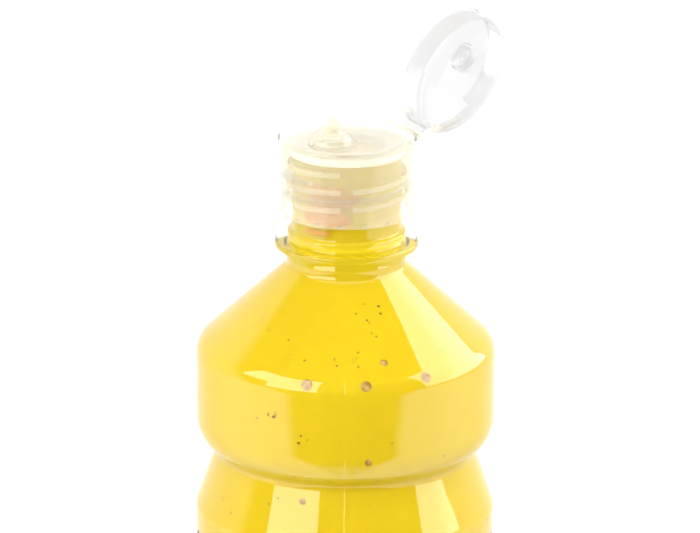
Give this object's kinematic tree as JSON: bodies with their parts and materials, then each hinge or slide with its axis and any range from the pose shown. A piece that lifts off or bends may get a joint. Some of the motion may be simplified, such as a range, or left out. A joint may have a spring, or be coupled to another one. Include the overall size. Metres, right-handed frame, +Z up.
{
  "type": "flip-top squeeze bottle of paint",
  "caption": "Clear round squeeze bottle of yellow ready-mixed paint with a finger groove, a wrap label and a milky screw cap whose flip-top lid stands open.",
  "frame": {"origin": "middle of the base, on the surface the bottle stands on", "axes": "+Z up along the bottle's axis, -Y the side seen from the front, the lid's hinge on the side of +X turned 28 degrees toward +Y"},
  "size_m": [0.0704, 0.069, 0.2401],
  "materials": {
    "pet_clear": "clear blown PET, glossy",
    "paint_yellow": "thick liquid paint, smooth and glossy where it wets the wall",
    "label_paper": "printed film label, satin",
    "liner_foam": "closed-cell foam, matte",
    "cap_milky": "natural polypropylene, translucent and slightly cloudy"
  },
  "bodies": {
    "bottle": {"bottle_shell": "pet_clear", "paint_fill": "paint_yellow", "wrap_label": "label_paper"},
    "liner": {"sealing_liner": "liner_foam"},
    "cap": {"cap_base": "cap_milky", "hinge_web": "cap_milky", "spring_strap_left": "cap_milky", "spring_strap_right": "cap_milky"},
    "lid": {"flip_lid": "cap_milky"}
  },
  "joints": [
    {"name": "cap_lift", "type": "slide", "parent": "bottle", "child": "liner", "axis": [0, 0, 1], "range_m": [0, 0.0168]},
    {"name": "cap_turn", "type": "hinge", "parent": "liner", "child": "cap", "pos_m": [0, 0, 0.2], "axis": [0, 0, 1], "range_deg": [0, 1440]},
    {"name": "lid_flip", "type": "hinge", "parent": "cap", "child": "lid", "pos_m": [0.0143, 0.00761, 0.2142], "axis": [-0.4695, 0.8829, 0], "range_deg": [-123.5, 20], "deforming": ["hinge_web", "spring_strap_left", "spring_strap_right"]}
  ],
  "couplings": [
    {"joint": "cap_lift", "follows": "cap_turn", "m_per_rad": 0.00066845}
  ]
}
